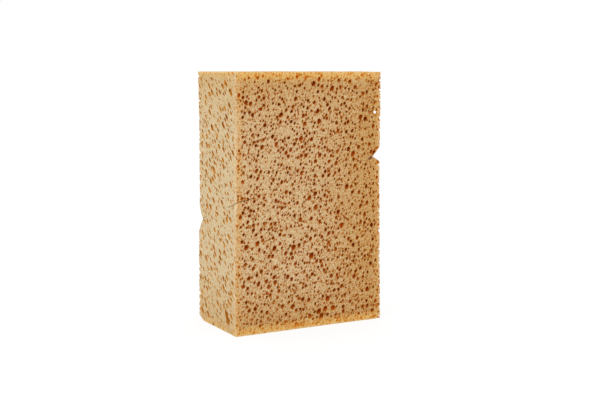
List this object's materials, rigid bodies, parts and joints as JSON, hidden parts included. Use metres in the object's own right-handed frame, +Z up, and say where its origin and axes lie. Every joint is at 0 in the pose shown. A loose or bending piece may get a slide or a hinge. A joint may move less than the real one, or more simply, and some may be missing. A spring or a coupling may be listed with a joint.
{
  "type": "cleaning sponge",
  "caption": "Upright rectangular block of coarse-pored foam for wet cleaning, open pores on every face, with a pinched notch in one edge.",
  "frame": {"origin": "middle of the small bottom face that the block stands on", "axes": "+Z up along the block's longest side, +X to the right along its width, -Y out of the broad front face"},
  "size_m": [0.128, 0.068, 0.2],
  "materials": {
    "foam": "matte open-pored foam, ochre"
  },
  "bodies": {
    "root": {"foam_block": "foam"}
  },
  "joints": []
}
